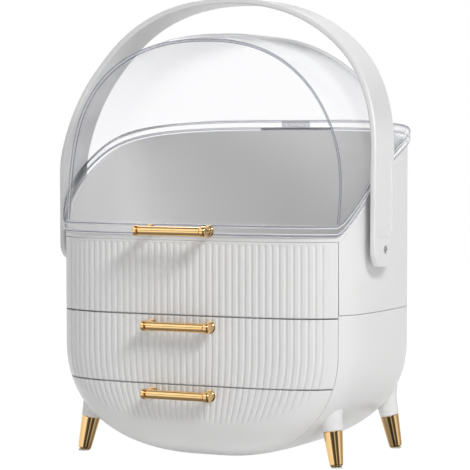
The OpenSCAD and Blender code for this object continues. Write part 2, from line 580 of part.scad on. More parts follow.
// a leg's cone between two heights along its own axis, g wider all round
module leg_cone(sx, sy, g, l0, l1) on_leg(sx, sy) translate([0, 0, l0])
    cylinder(h = l1 - l0, r1 = leg_tip_d / 2 + leg_taper * l0 / 2 + g, r2 = leg_tip_d / 2 + leg_taper * l1 / 2 + g);
function screw_at(sx, sy) = leg_at(sx, sy, shelf_z) - [sx * spigot_in, sy * spigot_in, 0];
module spigot(sx, sy) translate(screw_at(sx, sy) + [0, 0, spigot_z - shelf_z])
    cylinder(h = shelf_z - spigot_z, r = spigot_r);
module slab_z(z0, z1) translate([-body_w, -body_d, z0]) cube([2 * body_w, 2 * body_d, z1 - z0]);
module leg(sx, sy) color("white") place() difference() {
    intersection() {
        union() {
            leg_cone(sx, sy, 0, ferrule_h + 0.1, leg_l);
            spigot(sx, sy);
        }
        slab_z(0, shelf_z - 0.1);
    }
    translate(screw_at(sx, sy) - [0, 0, 12]) cylinder(h = 20, r = screw_r);
}
module leg_front_left() leg(-1, -1);
module leg_front_right() leg(1, -1);
module leg_rear_left() leg(-1, 1);
module leg_rear_right() leg(1, 1);
module ferrule(sx, sy) color("gold") place() intersection() {
    leg_cone(sx, sy, 0, -3, ferrule_h);
    slab_z(pad_h, 2 * ferrule_h);
}
module ferrule_front_left() ferrule(-1, -1);
module ferrule_front_right() ferrule(1, -1);
module ferrule_rear_left() ferrule(-1, 1);
module ferrule_rear_right() ferrule(1, 1);
module foot_pads() color("white") place() for (sx = [-1, 1], sy = [-1, 1])
    translate(leg_at(sx, sy, 0)) cylinder(h = pad_h, r = leg_tip_d / 2 - 0.8);
module leg_screws() color("silver") place() for (sx = [-1, 1], sy = [-1, 1])
    translate(screw_at(sx, sy)) {
        translate([0, 0, -10]) cylinder(h = shelf_t + 10.2, r = screw_r - 0.02);
        translate([0, 0, shelf_t]) cylinder(h = run * 0.75, r = 2 * screw_r);
    }

lower_shell();
upper_shell();
base_plate();
bay_floor();
shelf();
top_plate();
rail_1_left();
rail_1_right();
rail_2_left();
rail_2_right();
front_panel();
display_deck();
drawer_1_front();
drawer_1_tray();
drawer_1_pull();
drawer_1_screws();
drawer_2_front();
drawer_2_tray();
drawer_2_pull();
drawer_2_screws();
lid();
lid_pull();
lid_leaf();
hinge_leaf();
hinge_pin();
handle();
pivot_boss_left();
pivot_boss_right();
pivot_pin_left();
pivot_pin_right();
leg_front_left();
leg_front_right();
leg_rear_left();
leg_rear_right();
ferrule_front_left();
ferrule_front_right();
ferrule_rear_left();
ferrule_rear_right();
foot_pads();
leg_screws();
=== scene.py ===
"""Looks of a makeup organizer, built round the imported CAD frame.

Lengths are millimetres until a mesh is made, and plan forms are superellipses round the plan
centre, as in the CAD source. The fronts, shells, lid, handle, pulls and legs are built again
here on finer grids, with rounded edges, and stand for their CAD nodes. The rest of the CAD
nodes stay and get their materials.
"""
import json
import math

import bpy
import numpy as np
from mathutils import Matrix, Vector


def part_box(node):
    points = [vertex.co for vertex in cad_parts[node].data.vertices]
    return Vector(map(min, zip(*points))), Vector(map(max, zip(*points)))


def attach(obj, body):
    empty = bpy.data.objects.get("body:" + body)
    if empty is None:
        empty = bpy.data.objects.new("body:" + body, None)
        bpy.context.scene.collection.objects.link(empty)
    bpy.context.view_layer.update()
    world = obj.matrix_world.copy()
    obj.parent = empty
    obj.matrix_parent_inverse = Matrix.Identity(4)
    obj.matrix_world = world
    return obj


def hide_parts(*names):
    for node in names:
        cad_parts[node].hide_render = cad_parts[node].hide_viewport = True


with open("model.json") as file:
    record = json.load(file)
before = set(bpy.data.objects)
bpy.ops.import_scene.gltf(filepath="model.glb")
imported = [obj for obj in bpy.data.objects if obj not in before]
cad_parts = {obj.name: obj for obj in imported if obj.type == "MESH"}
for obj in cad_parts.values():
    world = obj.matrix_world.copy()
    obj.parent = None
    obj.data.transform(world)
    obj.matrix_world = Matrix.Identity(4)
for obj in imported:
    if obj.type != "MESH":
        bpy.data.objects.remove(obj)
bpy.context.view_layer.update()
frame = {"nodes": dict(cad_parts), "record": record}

MM = 0.001


def box_mm(node):
    """Lowest and highest corner of a CAD node, in millimetres."""
    low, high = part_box(node)
    return np.array(low) / MM, np.array(high) / MM


# ---- sizes read from the frame ----
shell_low, shell_high = box_mm("upper_shell")
panel_low, panel_high = box_mm("front_panel")
front_1_low, front_1_high = box_mm("drawer_1_front")
front_2_low, front_2_high = box_mm("drawer_2_front")
lower_high = box_mm("lower_shell")[1]
lid_high = box_mm("lid")[1]
handle_low, handle_high = box_mm("handle")
pin_low, pin_high = box_mm("pivot_pin_right")

HALF_W = (shell_high[0] - shell_low[0]) / 2
HALF_D = (shell_high[1] - shell_low[1]) / 2
PLAN_Y = (shell_high[1] + shell_low[1]) / 2
PANEL_TOP = panel_high[2]
LID_TOP = lid_high[2]

# ---- sizes of the form, as in the CAD source ----
FRONT_N = 4.4
REAR_N = 2.8
BELLY_N = (2.2, 4.5, 3.2)
BELLY_LOW_Z = 1.0
BELLY_TOP_Z = 100.0
BELLY_H = BELLY_TOP_Z - BELLY_LOW_Z
FLOOR_TAU = 0.99
WALL = 3.0
HAIR = 0.4
SEAM_F = 0.912
SIDE_GAP = 0.3
PANEL_F = SEAM_F - SIDE_GAP / HALF_W
RIB_PITCH = 6.2
RIB_DEPTH = 1.0
RIB_SIDE_N = 20
RIM_Z = PANEL_TOP + 4.3
RIB_TOP_Z = PANEL_TOP - 2.4
RIM_RISE = 100.0
RIM_LEN = 85.0
LID_GAP = 0.7
LID_OVER = 1.0
LID_WALL = 2.4
LID_LEAN = 31.0
BAND_OUT = 1.6
BAND_H = 9.0
ARCH_Z = 226.0
LID_BACK = 65.0
FALL_Z = 280.0
EDGE_DROP = 7.0
FACE_W = 133.0
FACE_MID_Z = 228.0
FACE_N = 2.35
LEVEL_Z = 322.0
EDGE_ROUND = 0.6
SIDE_ROUND = 0.25


# ---- plan forms ----
def arc_of(u, n):
    """Height of a superellipse's quarter over the share u of its width."""
    return np.maximum(0.0, 1.0 - np.abs(u) ** n) ** (1.0 / n)


def ring_pt(ax, bf, br, nf, nr, t):
    """Point of a superellipse at angle t (degrees), with its own front and rear halves."""
    c, s = np.cos(np.radians(t)), np.sin(np.radians(t))
    n = np.where(s < 0, nf, nr)
    k = (np.abs(c) ** n + np.abs(s) ** n) ** (-1.0 / n)
    return ax * k * c, np.where(s < 0, bf, br) * k * s


def tau(z, o):
    """How far down the belly z lies, for a skin o inside: 0 at its top, 1 at its end."""
    return np.maximum(0.0, (BELLY_TOP_Z - z) / (BELLY_H - o))


def shrink(z, o, i):
    """Share of the plan that is left at height z: i is 0 across, 1 to the front, 2 to the rear."""
    return arc_of(np.minimum(tau(z, o), 0.9999), BELLY_N[i])


def body_pt(z, o, t):
    """Point of the body's skin, o inside it, at height z and angle t."""
    return ring_pt((HALF_W - o) * shrink(z, o, 0), (HALF_D - o) * shrink(z, o, 1),
                   (HALF_D - o) * shrink(z, o, 2), FRONT_N, REAR_N, t)


def inner_z(z, o):
    """Height on the skin o inside that faces the outer skin's height z."""
    return z + o * tau(z, 0) ** 3


SEAM_T = -math.degrees(math.atan2(float(arc_of(SEAM_F, FRONT_N)), SEAM_F))
SEAM_Y = float(body_pt(RIM_Z, 0, SEAM_T)[1])


def rim(y):
    """Height of the upper shell's rim at depth y."""
    return RIM_Z + RIM_RISE * (1 - np.exp(-np.maximum(0.0, y - SEAM_Y) / RIM_LEN))


# ---- mesh helpers ----
class Build:
    """Collects grids and lathes, and makes one mesh object from them."""

    def __init__(self):
        self.points, self.faces, self.count = [], [], 0

    def add(self, points, faces):
        points = np.asarray(points, float).reshape(-1, 3)
        self.points.append(points)
        self.faces += [[i + self.count for i in f] for f in faces]
        self.count += len(points)
        return self

    def grid(self, g, wrap=False, flip=False):
        """A sheet of points, rows by columns."""
        r, c = g.shape[:2]
        faces = []
        for i in range(r - 1):
            for j in range(c if wrap else c - 1):
                p, q = i * c + j, i * c + (j + 1) % c
                faces.append([p, p + c, q + c, q] if flip else [p, q, q + c, p + c])
        return self.add(g, faces)

    @staticmethod
    def skins(r, c, wrap):
        """Faces of two sheets, r rows by c columns, that look away from each other."""
        m = r * c
        faces = []
        for i in range(r - 1):
            for j in range(c if wrap else c - 1):
                p, q = i * c + j, i * c + (j + 1) % c
                faces.append([p, q, q + c, p + c])
                faces.append([m + p, m + p + c, m + q + c, m + q])
        return faces

    def wall(self, outer, inner, wrap=False):
        """A closed wall between two sheets of the same shape."""
        r, c = outer.shape[:2]
        m = r * c
        faces = self.skins(r, c, wrap)
        for j in range(c if wrap else c - 1):
            p, q, last = j, (j + 1) % c, (r - 1) * c
            faces.append([p, m + p, m + q, q])
            faces.append([last + p, last + q, m + last + q, m + last + p])
        if not wrap:
            for i in range(r - 1):
                p, q = i * c, i * c + c - 1
                faces.append([p, p + c, m + p + c, m + p])
                faces.append([q, m + q, m + q + c, q + c])
        return self.add(np.concatenate([outer.reshape(-1, 3), inner.reshape(-1, 3)]), faces)

    def dome(self, outer, inner, top_out, top_in):
        """A wall that closes round and over the top."""
        r, c = outer.shape[:2]
        m = r * c
        faces = self.skins(r, c, True)
        for j in range(c):
            q = (j + 1) % c
            faces.append([j, m + j, m + q, q])
            faces.append([m - c + j, m - c + q, 2 * m])
            faces.append([2 * m - c + j, 2 * m + 1, 2 * m - c + q])
        points = [outer.reshape(-1, 3), inner.reshape(-1, 3), [top_out], [top_in]]
        return self.add(np.concatenate(points), faces)

    def lathe(self, profile, origin, axis, around=64):
        """A profile of (radius, distance along the axis) turned round an axis."""
        axis = Vector(axis).normalized()
        side = axis.orthogonal().normalized()
        up = np.array(axis.cross(side))
        axis, side = np.array(axis), np.array(side)
        a = np.linspace(0, 2 * math.pi, around, endpoint=False)
        spokes = np.outer(np.cos(a), side) + np.outer(np.sin(a), up)
        rows = [np.asarray(origin) + along * axis + radius * spokes for radius, along in profile]
        g = np.array(rows)
        self.grid(g, wrap=True)
        first = self.count - g.shape[0] * around
        last = self.count - around
        self.faces.append([first + j for j in range(around)][::-1])
        self.faces.append([last + j for j in range(around)])
        return self

    def object(self, name, material, body, slot, stands_for=(), sharp=38.0):
        """The mesh object, in metres in the CAD's frame, riding on its body."""
        points = np.concatenate(self.points) + (0, PLAN_Y, 0)
        mesh = bpy.data.meshes.new(name)
        mesh.from_pydata((points * MM).tolist(), [], self.faces)
        mesh.validate()
        mesh.shade_smooth()
        mesh.set_sharp_from_angle(angle=math.radians(sharp))
        mesh.materials.append(material)
        piece = bpy.data.objects.new(name, mesh)
        bpy.context.scene.collection.objects.link(piece)
        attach(piece, body)
        if stands_for:
            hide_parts(*stands_for)
        return piece


def stack(x, y, z):
    """Points from their coordinates, each spread to the same shape."""
    x, y, z = np.broadcast_arrays(x, y, z)
    return np.stack([x, y, z], axis=-1).astype(float)


def rounded(low, high, r, inside):
    """Places from low to high with rounded ends, and how deep each lies below the face."""
    a = np.radians(np.linspace(0, 90, 5))[:-1]
    ends = r * (1 - np.cos(a))
    depths = r * (1 - np.sin(a))
    middle = np.asarray(inside, float)
    places = np.concatenate([low + ends, [low + r], middle, [high - r], (high - ends)[::-1]])
    deep = np.concatenate([depths, [0], 0 * middle, [0], depths[::-1]])
    return places, deep


# ---- materials ----
def new_material(name):
    mat = bpy.data.materials.new(name)
    mat.use_nodes = True
    tree = mat.node_tree
    return mat, tree, tree.nodes["Principled BSDF"]


def noise(tree, scale, detail=2.0, stretch=None):
    """A noise texture in object coordinates."""
    coords = tree.nodes.new("ShaderNodeTexCoord")
    texture = tree.nodes.new("ShaderNodeTexNoise")
    texture.inputs["Scale"].default_value = scale
    texture.inputs["Detail"].default_value = detail
    if stretch:
        mapping = tree.nodes.new("ShaderNodeMapping")
        mapping.inputs["Scale"].default_value = stretch
        tree.links.new(coords.outputs["Object"], mapping.inputs["Vector"])
        tree.links.new(mapping.outputs["Vector"], texture.inputs["Vector"])
    else:
        tree.links.new(coords.outputs["Object"], texture.inputs["Vector"])
    return texture.outputs["Fac"]


def vary_colour(tree, shader, fac, a, b):
    """Base colour that drifts between two close tones."""
    mix = tree.nodes.new("ShaderNodeMix")
    mix.data_type = "RGBA"
    mix.inputs["A"].default_value = (*a, 1)
    mix.inputs["B"].default_value = (*b, 1)
    tree.links.new(fac, mix.inputs["Factor"])
    tree.links.new(mix.outputs["Result"], shader.inputs["Base Color"])


def vary_roughness(tree, shader, fac, low, high):
    """Roughness that drifts between two values."""
    span = tree.nodes.new("ShaderNodeMapRange")
    span.inputs["From Min"].default_value = 0.3
    span.inputs["From Max"].default_value = 0.7
    span.inputs["To Min"].default_value = low
    span.inputs["To Max"].default_value = high
    tree.links.new(fac, span.inputs["Value"])
    tree.links.new(span.outputs["Result"], shader.inputs["Roughness"])


def add_bump(tree, shader, height, strength, distance):
    bump = tree.nodes.new("ShaderNodeBump")
    bump.inputs["Strength"].default_value = strength
    bump.inputs["Distance"].default_value = distance
    tree.links.new(height, bump.inputs["Height"])
    tree.links.new(bump.outputs["Normal"], shader.inputs["Normal"])


def white_plastic(name, tone=0.82, rough=0.32, coat=0.15):
    """Injection-moulded white plastic: nearly even, with a faint orange peel."""
    mat, tree, shader = new_material(name)
    warm = (tone, tone * 0.997, tone * 0.99)
    cool = (tone * 0.985, tone * 0.988, tone * 0.99)
    vary_colour(tree, shader, noise(tree, 9, 3), warm, cool)
    vary_roughness(tree, shader, noise(tree, 30, 2), rough - 0.01, rough + 0.02)
    add_bump(tree, shader, noise(tree, 700, 1), 0.02, 0.0001)
    shader.inputs["Coat Weight"].default_value = coat
    shader.inputs["Coat Roughness"].default_value = 0.12
    shader.inputs["IOR"].default_value = 1.49
    return mat


def gold_metal(name):
    """Polished gold plating with a faint drawn grain along the bars."""
    mat, tree, shader = new_material(name)
    vary_colour(tree, shader, noise(tree, 25, 2), (1.0, 0.69, 0.34), (0.96, 0.63, 0.28))
    vary_roughness(tree, shader, noise(tree, 300, 3, (0.15, 1, 1)), 0.07, 0.12)
    add_bump(tree, shader, noise(tree, 900, 2, (0.1, 1, 1)), 0.04, 0.0002)
    shader.inputs["Metallic"].default_value = 1.0
    return mat


def steel_metal(name):
    mat, tree, shader = new_material(name)
    vary_colour(tree, shader, noise(tree, 40, 2), (0.82, 0.82, 0.84), (0.74, 0.74, 0.76))
    vary_roughness(tree, shader, noise(tree, 500, 3, (1, 0.1, 1)), 0.22, 0.36)
    add_bump(tree, shader, noise(tree, 1200, 2), 0.05, 0.0002)
    shader.inputs["Metallic"].default_value = 1.0
    return mat


def soft_pad(name):
    mat, tree, shader = new_material(name)
    vary_colour(tree, shader, noise(tree, 80, 2), (0.75, 0.75, 0.73), (0.68, 0.68, 0.66))
    vary_roughness(tree, shader, noise(tree, 200, 3), 0.6, 0.8)
    add_bump(tree, shader, noise(tree, 1500, 2), 0.3, 0.0003)
    return mat


def clear_plastic(name, pale, tint, milky, edge_on, power):
    """Clear polished acrylic: nearly nothing seen square on, milky and glossy edge on.

    pale is its own colour and tint is what it lets through. milky and edge_on are the shares of
    its own colour in those two views, and a higher power keeps more of the face clear.
    """
    mat, tree, shader = new_material(name)
    vary_colour(tree, shader, noise(tree, 6, 2), pale, [0.94 * tone for tone in pale])
    vary_roughness(tree, shader, noise(tree, 30, 2), 0.03, 0.06)
    shader.inputs["IOR"].default_value = 1.49
    open_air = tree.nodes.new("ShaderNodeBsdfTransparent")
    open_air.inputs["Color"].default_value = (*tint, 1)
    facing = tree.nodes.new("ShaderNodeLayerWeight")
    facing.inputs["Blend"].default_value = 0.5
    steep = tree.nodes.new("ShaderNodeMath")
    steep.operation = "POWER"
    steep.inputs[1].default_value = power
    span = tree.nodes.new("ShaderNodeMapRange")
    span.inputs["To Min"].default_value = milky
    span.inputs["To Max"].default_value = edge_on
    mix = tree.nodes.new("ShaderNodeMixShader")
    tree.links.new(facing.outputs["Facing"], steep.inputs[0])
    tree.links.new(steep.outputs["Value"], span.inputs["Value"])
    tree.links.new(span.outputs["Result"], mix.inputs["Fac"])
    tree.links.new(open_air.outputs["BSDF"], mix.inputs[1])
    tree.links.new(shader.outputs["BSDF"], mix.inputs[2])
    tree.links.new(mix.outputs["Shader"], tree.nodes["Material Output"].inputs["Surface"])
    return mat


WHITE = white_plastic("white_plastic")
WHITE_INSIDE = white_plastic("white_plastic_inside", 0.78, 0.42, 0.0)
GOLD = gold_metal("gold_metal")
STEEL = steel_metal("steel")
PAD = soft_pad("soft_pad")
CLEAR = clear_plastic("clear_plastic", (0.90, 0.91, 0.95), (0.995, 0.995, 0.998), 0.006, 0.8, 5.0)
# Painted shade and painted highlight for the lid's edges: a dark clear finish for thin beads that
# stand in for the dark lines of the thick clear edge, and a light one for the bright lines beside
# them.
CLEAR_EDGE_PAINTED_SHADE = clear_plastic(
    "clear_plastic_edge_painted_shade", (0.34, 0.34, 0.43), (0.93, 0.93, 0.97), 0.3, 0.95, 1.3)
CLEAR_GLINT = clear_plastic(
    "clear_plastic_glint", (0.97, 0.97, 0.99), (0.99, 0.99, 0.99), 0.6, 0.95, 1.3)


# ---- ribbed fronts ----
def walk_front():
    """Half widths reached by equal steps along the front's arc, as the CAD source walks it."""
    step, x, places = RIB_PITCH / 5, 0.0, []
    for _ in range(5 * RIB_SIDE_N + 2):
        places.append(x)
        u = x / HALF_W
        slope = HALF_D / HALF_W * u ** (FRONT_N - 1) * (1 - u ** FRONT_N) ** (1 / FRONT_N - 1)
        x = min(x + step / math.sqrt(1 + slope ** 2), HALF_W * SEAM_F)
    return np.arange(len(places)) * step, np.array(places)


ARC_S, ARC_X = walk_front()
GROOVE_HALF = 1.9
FADE_Z = 34.0
FADE_RISE = 30.0
FADE_LEN = 9.0


def rib_columns():
    """Columns of a ribbed front: share of the half width, depth of the edge, distance to the
    nearest groove's middle, and that groove's number."""
    near = GROOVE_HALF * np.linspace(-1, 1, 13)
    between = np.array([2.5, 3.1, 3.7])
    cols = []
    for k in range(-RIB_SIDE_N, RIB_SIDE_N + 1):
        cols += [(k * RIB_PITCH + d, d, abs(k)) for d in near]
        if k < RIB_SIDE_N:
            cols += [(k * RIB_PITCH + d, min(d, RIB_PITCH - d), abs(k)) for d in between]
    s = np.array([c[0] for c in cols])
    f = np.sign(s) * np.interp(np.abs(s), ARC_S, ARC_X) / HALF_W
    off = np.array([c[1] for c in cols])
    k = np.array([c[2] for c in cols])
    margin, deep = rounded(f[-1] + 0.002, PANEL_F, SIDE_ROUND / HALF_W, [])
    keep = margin >= (f[-1] + PANEL_F) / 2
    share = np.concatenate([[f[-1] + (PANEL_F - f[-1]) * 0.35], margin[keep]])
    deep = np.concatenate([[0], deep[keep] * HALF_W])
    far = np.full(len(share), RIB_PITCH)
    rim_k = np.full(len(share), RIB_SIDE_N)
    f = np.concatenate([-share[::-1], f, share])
    edge = np.concatenate([deep[::-1], np.zeros(len(off)), deep])
    off = np.concatenate([far, off, far])
    k = np.concatenate([rim_k, k, rim_k])
    return f, edge, np.abs(off), k


def groove(off, half):
    """Depth share of a round-bottomed groove with soft sides."""
    return np.cos(np.clip(off / half, 0, 1) * math.pi / 2) ** 2


def front_pt(z, o, f, d):
    """Point of a front at height z, o inside the skin, at share f, d deep."""
    v = arc_of(f, FRONT_N)
    ax, by = (HALF_W - o) * shrink(z, o, 0), (HALF_D - o) * shrink(z, o, 1)
    nx = np.sign(f) * np.abs(f) ** (FRONT_N - 1) / ax
    ny = -v ** (FRONT_N - 1) / by
    length = np.hypot(nx, ny)
    return stack(ax * f - d * nx / length, -by * v - d * ny / length, z)


def ribbed(name, z, edge, depth, body, node):
    """One ribbed front: rows at heights z with edge depths, and a depth of groove per point."""
    f, side_edge, off, k = rib_columns()
    z, edge = z[:, None], edge[:, None]
    d = np.maximum(edge, side_edge[None]) + RIB_DEPTH * depth(z, off[None], k[None])
    outer = front_pt(z, 0, f[None], np.minimum(d, WALL - 0.8))
    inner = front_pt(inner_z(z, WALL), WALL, f[None], 0)
    return Build().wall(outer, inner).object(name, WHITE, body, "white_plastic", [node])


def make_front_panel():
    """The fixed panel, whose ribs end in rounded tops under a smooth band."""
    tip = 2.0
    z, edge = rounded(panel_low[2], PANEL_TOP, EDGE_ROUND, np.concatenate([
        np.linspace(panel_low[2] + 5, RIB_TOP_Z - tip, 6),
        np.linspace(RIB_TOP_Z - tip + 0.25, RIB_TOP_Z + 0.6, 9)]))

    def depth(z, off, k):
        up = np.clip(z - (RIB_TOP_Z - tip), 0, tip)
        half = GROOVE_HALF + tip - np.sqrt(np.maximum(0, tip ** 2 - up ** 2))
        end = np.clip((RIB_TOP_Z + 0.5 - z) / 0.5, 0, 1)
        return groove(off, half) * end * (1 - 0.55 * up / tip)

    ribbed("front_panel_ribs", z, edge, depth, "housing", "front_panel")


def make_drawer_1_front():
    """The upper drawer's front, whose grooves run through from edge to edge."""
    z, edge = rounded(front_1_low[2], front_1_high[2], EDGE_ROUND,
                      np.linspace(front_1_low[2] + 3, front_1_high[2] - 3, 14))
    ribbed("drawer_1_face", z, edge, lambda z, off, k: groove(off, GROOVE_HALF) + 0 * z,
           "drawer_1", "drawer_1_front")


def make_drawer_2_front():
    """The belly's front, whose grooves die away along an arc."""
    top = front_2_high[2]
    low_a = math.asin(FLOOR_TAU)
    top_a = math.asin((BELLY_TOP_Z - top + 1.5) / BELLY_H)
    middle = BELLY_TOP_Z - BELLY_H * np.sin(np.linspace(low_a - 0.02, top_a, 56))
    z, edge = rounded(front_2_low[2], top, EDGE_ROUND, middle[middle > front_2_low[2] + 1])
    z[:5], edge[:5] = np.linspace(front_2_low[2], front_2_low[2] + 0.4, 5), 0

    def depth(z, off, k):
        start = FADE_Z + FADE_RISE * (k / RIB_SIDE_N) ** 5
        fade = np.clip((z - start) / FADE_LEN, 0, 1)
        return groove(off, GROOVE_HALF) * fade * fade * (3 - 2 * fade)

    ribbed("drawer_2_face", z, edge, depth, "drawer_2", "drawer_2_front")


# ---- shells ----
def make_lower_shell():
    """The belly's side and back walls, with rounded edges beside the fronts and at the seam."""
    t, deep = rounded(SEAM_T, 180 - SEAM_T, 0.25, np.concatenate([
        np.linspace(SEAM_T + 1.5, 20, 50), np.linspace(22, 158, 70),
        np.linspace(160, 180 - SEAM_T - 1.5, 50)]))
    rows = BELLY_TOP_Z - BELLY_H * np.sin(np.linspace(math.asin(FLOOR_TAU), 0, 44))
    top = lower_high[2]
    z, edge = rounded(rows[0], top, 0.5, np.concatenate([rows[3:], np.linspace(100, top - 2, 8)]))
    z[:5], edge[:5] = np.linspace(rows[0], rows[1], 5), 0
    z, edge = z[:, None], edge[:, None]
    d = np.maximum(edge, deep[None])
    x, y = body_pt(z, 0, t[None])
    size = np.hypot(x, y)
    outer = stack(x * (1 - d / size), y * (1 - d / size), z)
    w = inner_z(z, WALL)
    x, y = body_pt(w, WALL, t[None])
    Build().wall(outer, stack(x, y, w)).object(
        "lower_casing", WHITE, "housing", "white_plastic", ["lower_shell"])


LINE_DROP = 4.6
LINE_DEPTH = 0.35


def make_upper_shell():
    """The upper casing, with its climbing rim and the fine line that runs below it."""
    right = np.concatenate([np.linspace(-90, SEAM_T, 40), [SEAM_T + 0.15, SEAM_T + 0.4],
                            np.linspace(SEAM_T + 1.2, 30, 56), np.linspace(32, 90, 36)])
    t = np.concatenate([right, 180 - right[-2:0:-1]])[None]
    front = (np.sin(np.radians(t)) < 0) & (np.abs(np.cos(np.radians(t)))
                                           < math.cos(math.radians(SEAM_T)) + 1e-6)
    low = np.where(front, PANEL_TOP + HAIR, lower_high[2] + HAIR)
    high = rim(body_pt(RIM_Z, 0, t)[1])
    tops = [-LINE_DROP - 0.35, -LINE_DROP - 0.15, -LINE_DROP + 0.15, -LINE_DROP + 0.35]
    cut = [0, LINE_DEPTH, LINE_DEPTH, 0]
    a = np.radians(np.linspace(0, 90, 5))
    low_round, lip, under_line = 0.5, 1.1, 6.5
    rows, depths = [], []
    for angle in a[:-1]:
        rows.append(low + low_round * (1 - math.cos(angle)))
        depths.append(low_round * (1 - math.sin(angle)) + 0 * low)
    plain_top = np.maximum(high - under_line, low + 0.8)
    for share in np.linspace(0.02, 1, 12):
        rows.append(low + low_round + (plain_top - low - low_round) * share)
        depths.append(0 * low)
    for drop, depth in zip(tops, cut):
        rows.append(np.where(front, low + 1.2 + (drop + 6) * 0.3, high + drop))
        depths.append(np.where(front, 0, depth))
    for angle in a[::-1]:
        rows.append(high - lip * (1 - math.cos(angle)))
        depths.append(lip * (1 - math.sin(angle)) + 0 * low)
    z, d = np.concatenate(rows), np.concatenate(depths)
    x, y = body_pt(RIM_Z, 0, t)
    size = np.hypot(x, y)
    outer = stack(x * (1 - d / size), y * (1 - d / size), z)
    x, y = body_pt(RIM_Z, WALL, t)
    Build().wall(outer, stack(x, y, z), wrap=True).object(
        "upper_casing", WHITE, "housing", "white_plastic", ["upper_shell"])


# ---- lid ----
LID_R = HALF_W + LID_OVER
LID_D = HALF_D + LID_OVER


def lid_x(z, o):
    """Half width of the lid's arch at height z."""
    arch = arc_of((np.maximum(z, ARCH_Z) - ARCH_Z) / (LID_TOP + o - ARCH_Z), 2)
    return (LID_R + o) * arch


def face_top(o):
    """Height of the front face's upper edge, at its middle."""
    return LID_TOP - EDGE_DROP + o


def face_x(z, o):
    """Half width of the lid's front face at height z."""
    below = FACE_W + o + (SEAM_F * HALF_W - FACE_W) * ((FACE_MID_Z - z) / (FACE_MID_Z - RIM_Z)) ** 2
    above = (FACE_W + o) * arc_of((np.maximum(z, FACE_MID_Z) - FACE_MID_Z)
                                  / (face_top(o) - FACE_MID_Z), FACE_N)
    return np.where(z < FACE_MID_Z, below, above)


def face_reach(z, o):
    """How far forward the leaning front face lies at height z, at its middle."""
    return LID_D + o - LID_LEAN * (z - RIM_Z) / (LID_TOP - RIM_Z)


def face_y(x, z, o):
    return -face_reach(z, o) * arc_of(x / (LID_R + o), FRONT_N)


def lid_fore(z, o):
    """How far forward the ring of the lid's sides would reach at height z."""
    e = face_x(z, o)
    share = np.minimum(e / np.maximum(lid_x(z, o), 1e-3), 0.9999)
    side = -face_y(e, z, o) / arc_of(share, FRONT_N)
    roof = face_reach(face_top(o), o) * np.maximum(0, 1 - (z - face_top(o)) / EDGE_DROP) ** (1 / 3)
    return np.where(z < face_top(o) - 0.01, side, roof)


def lid_aft(z, o):
    """How far back the lid reaches at height z."""
    fall = arc_of(np.maximum(0, z - FALL_Z) / (LID_TOP + o - FALL_Z), 2)
    return LID_BACK + o + (LID_D - LID_BACK) * fall


def side_pt(z, o, u):
    """Point of the right side at height z, a share u of the way from the face to the rear."""
    e = face_x(z, o)
    t0 = -np.degrees(np.arctan2(-face_y(e, z, o) / lid_fore(z, o), e / lid_x(z, o)))
    return ring_pt(lid_x(z, o), lid_fore(z, o), lid_aft(z, o), FRONT_N, REAR_N, t0 + (90 - t0) * u)


def roof_z(x, y, o, low):
    """Height of the roof over points of the plan, found by halving."""
    low, high = np.array(low, float), np.full(np.shape(low), LID_TOP + o)
    for _ in range(40):
        m = (low + high) / 2
        n = np.where(y < 0, FRONT_N, REAR_N)
        d = np.where(y < 0, lid_fore(m, o), lid_aft(m, o))
        across = np.abs(x) / np.maximum(lid_x(m, o), 1e-3)
        along = np.abs(y) / np.maximum(d, 1e-3)
        out = across ** n + along ** n > 1
        low, high = np.where(out, low, m), np.where(out, m, high)
    return (low + high) / 2


ROOF_MID = (0.0, 15.0)
FOOT_RISE = BAND_H + 1
LOW_Z = RIM_Z + LID_GAP + FOOT_RISE


def level_angle():
    """Angle along the face's edge at which it passes LEVEL_Z, in degrees."""
    rise = (LEVEL_Z - FACE_MID_Z) / (face_top(0) - FACE_MID_Z)
    return math.degrees(math.asin(rise ** (FACE_N / 2)))


def over_face(f, o):
    """The edge over the front face, from its corner at the level ring to its middle."""
    a = np.radians(90 - np.abs(f) * (90 - level_angle()))
    return (np.sign(f) * (FACE_W + o) * np.cos(a) ** (2 / FACE_N),
            FACE_MID_Z + (face_top(o) - FACE_MID_Z) * np.sin(a) ** (2 / FACE_N))


def foot_pt(f, u, side, o):
    """The lid's foot: f over the front face, then u along the sides to the rear."""
    e = float(face_x(RIM_Z, 0)) + o
    x = f * e
    t0 = -math.degrees(math.atan2(float(arc_of(e / (LID_R + o), FRONT_N)), e / (LID_R + o)))
    sx, sy = ring_pt(LID_R + o, LID_D + o, LID_D + o, FRONT_N, REAR_N, t0 + (90 - t0) * u)
    on_face = u == 0
    return (np.where(on_face, x, side * sx),
            np.where(on_face, -(LID_D + o) * arc_of(x / (LID_R + o), FRONT_N), sy))


def face_xz(f, q, o):
    """Place on the front face: f from edge to edge, q from LOW_Z up to its curved edge."""
    z = LOW_Z + (LEVEL_Z - LOW_Z) * q
    e_low, (e_high, _) = face_x(LOW_Z, o), over_face(1.0, o)
    hx, hz = over_face(f, o)
    dx = face_x(z, o) - (1 - q) * e_low - q * e_high
    dz = z - (1 - q) * LOW_Z - q * over_face(1.0, o)[1]
    return (1 - q) * f * e_low + q * hx + f * dx, (1 - q) * LOW_Z + q * hz + np.abs(f) * dz


def lid_columns(face_n=26, side_n=54):
    """The lid's columns: shares over the face, shares along the sides, and the side's sign."""
    face = np.linspace(-1, 1, 2 * face_n + 1)
    share = np.linspace(0, 1, side_n + 1)[1:]
    f = np.concatenate([face, 0 * share, 0 * share[:-1]])
    u = np.concatenate([0 * face, share, share[-2::-1]])
    side = np.concatenate([np.sign(face), 1 + 0 * share, -1 + 0 * share[:-1]])
    return f, u, side


